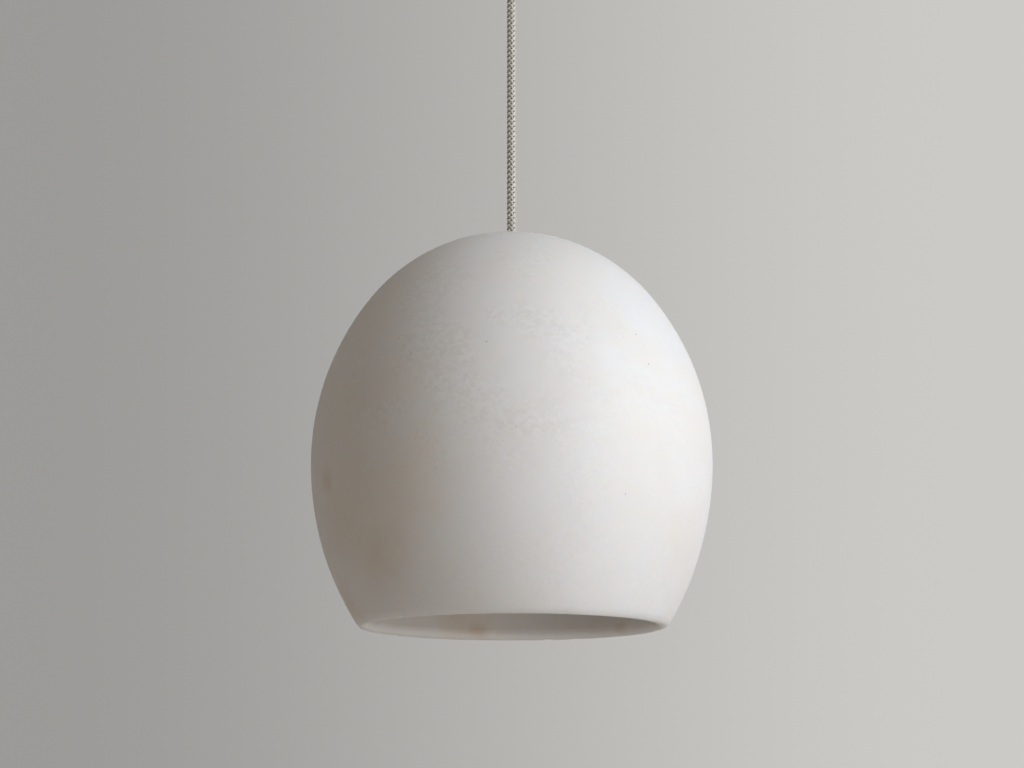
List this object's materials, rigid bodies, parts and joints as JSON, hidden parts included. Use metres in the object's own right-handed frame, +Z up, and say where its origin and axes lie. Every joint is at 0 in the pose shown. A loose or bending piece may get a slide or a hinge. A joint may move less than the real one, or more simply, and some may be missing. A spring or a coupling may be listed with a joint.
{
  "type": "alabaster bowl pendant",
  "caption": "Domed alabaster shade open below, hung on a braided cord from a round ceiling canopy, with a lampholder and globe bulb inside.",
  "frame": {"origin": "centre of the two ceiling screw slots, on the ceiling plane at the top of the canopy", "axes": "+Z up into the ceiling along the cord, +X along the mounting bracket, +Y towards the back of the view"},
  "size_m": [0.28, 0.28, 0.506],
  "materials": {
    "alabaster": "honed alabaster with soft clouds, fine veins and crystalline flecks",
    "canopy_paint": "satin off-white powder coat",
    "cord_braid": "braided cotton in cream and grey",
    "collar_brass": "brushed and lightly aged",
    "plated_steel": "zinc plated",
    "block_plastic": "moulded nylon",
    "contact_brass": "bright drawn brass",
    "brown_core": "extruded core insulation",
    "blue_core": "extruded core insulation",
    "earth_core": "extruded core insulation, green and yellow",
    "seat_rubber": "moulded",
    "holder_metal": "satin off-white powder coat",
    "porcelain": "white glaze",
    "opal_glass": "opal white, satin",
    "base_nickel": "nickel plated",
    "black_glass": "black vitrite",
    "solder_tip": "tinned",
    "module_white": "moulded"
  },
  "bodies": {
    "ceiling_fitting": {"mounting_bracket": "plated_steel", "canopy": "canopy_paint", "side_screws": "canopy_paint", "terminal_block": "block_plastic", "terminal_inserts": "contact_brass", "terminal_screws": "contact_brass", "block_screw": "plated_steel", "earth_lug": "plated_steel", "earth_screw": "plated_steel", "line_wire": "brown_core", "neutral_wire": "blue_core", "earth_wire": "earth_core", "cord_collar": "collar_brass", "lock_washer": "plated_steel", "collar_nut": "collar_brass", "grip_screw": "collar_brass", "cord_tail": "cord_braid"},
    "cord_bend": {"cord_neck": "cord_braid"},
    "pendant": {"cord": "cord_braid", "shade": "alabaster", "shade_nipple": "collar_brass", "centering_bush": "block_plastic", "seat_washer": "seat_rubber", "support_disc": "plated_steel", "disc_nut": "collar_brass", "holder_cap": "holder_metal", "cord_clamp": "collar_brass", "clamp_screws": "plated_steel", "holder_insert": "porcelain", "holder_skirt": "holder_metal", "screw_shell": "contact_brass", "centre_contact": "contact_brass", "contact_rivets": "contact_brass", "holder_terminals": "contact_brass", "holder_screws": "contact_brass", "earth_strap": "contact_brass", "lower_line_wire": "brown_core", "lower_neutral_wire": "blue_core", "lower_earth_wire": "earth_core"},
    "bulb": {"bulb_glass": "opal_glass", "bulb_base": "base_nickel", "bulb_insulator": "black_glass", "bulb_contact": "solder_tip", "led_module": "module_white"}
  },
  "joints": [
    {"name": "swing_x", "type": "hinge", "parent": "ceiling_fitting", "child": "cord_bend", "pos_m": [0, 0, -0.04225], "axis": [1, 0, 0], "range_deg": [-20, 20]},
    {"name": "swing_y", "type": "hinge", "parent": "cord_bend", "child": "pendant", "pos_m": [0, 0, -0.04225], "axis": [0, 1, 0], "range_deg": [-20, 20]},
    {"name": "bulb_out", "type": "slide", "parent": "pendant", "child": "bulb", "axis": [0, 0, -1], "range_m": [0, 0.22]}
  ]
}
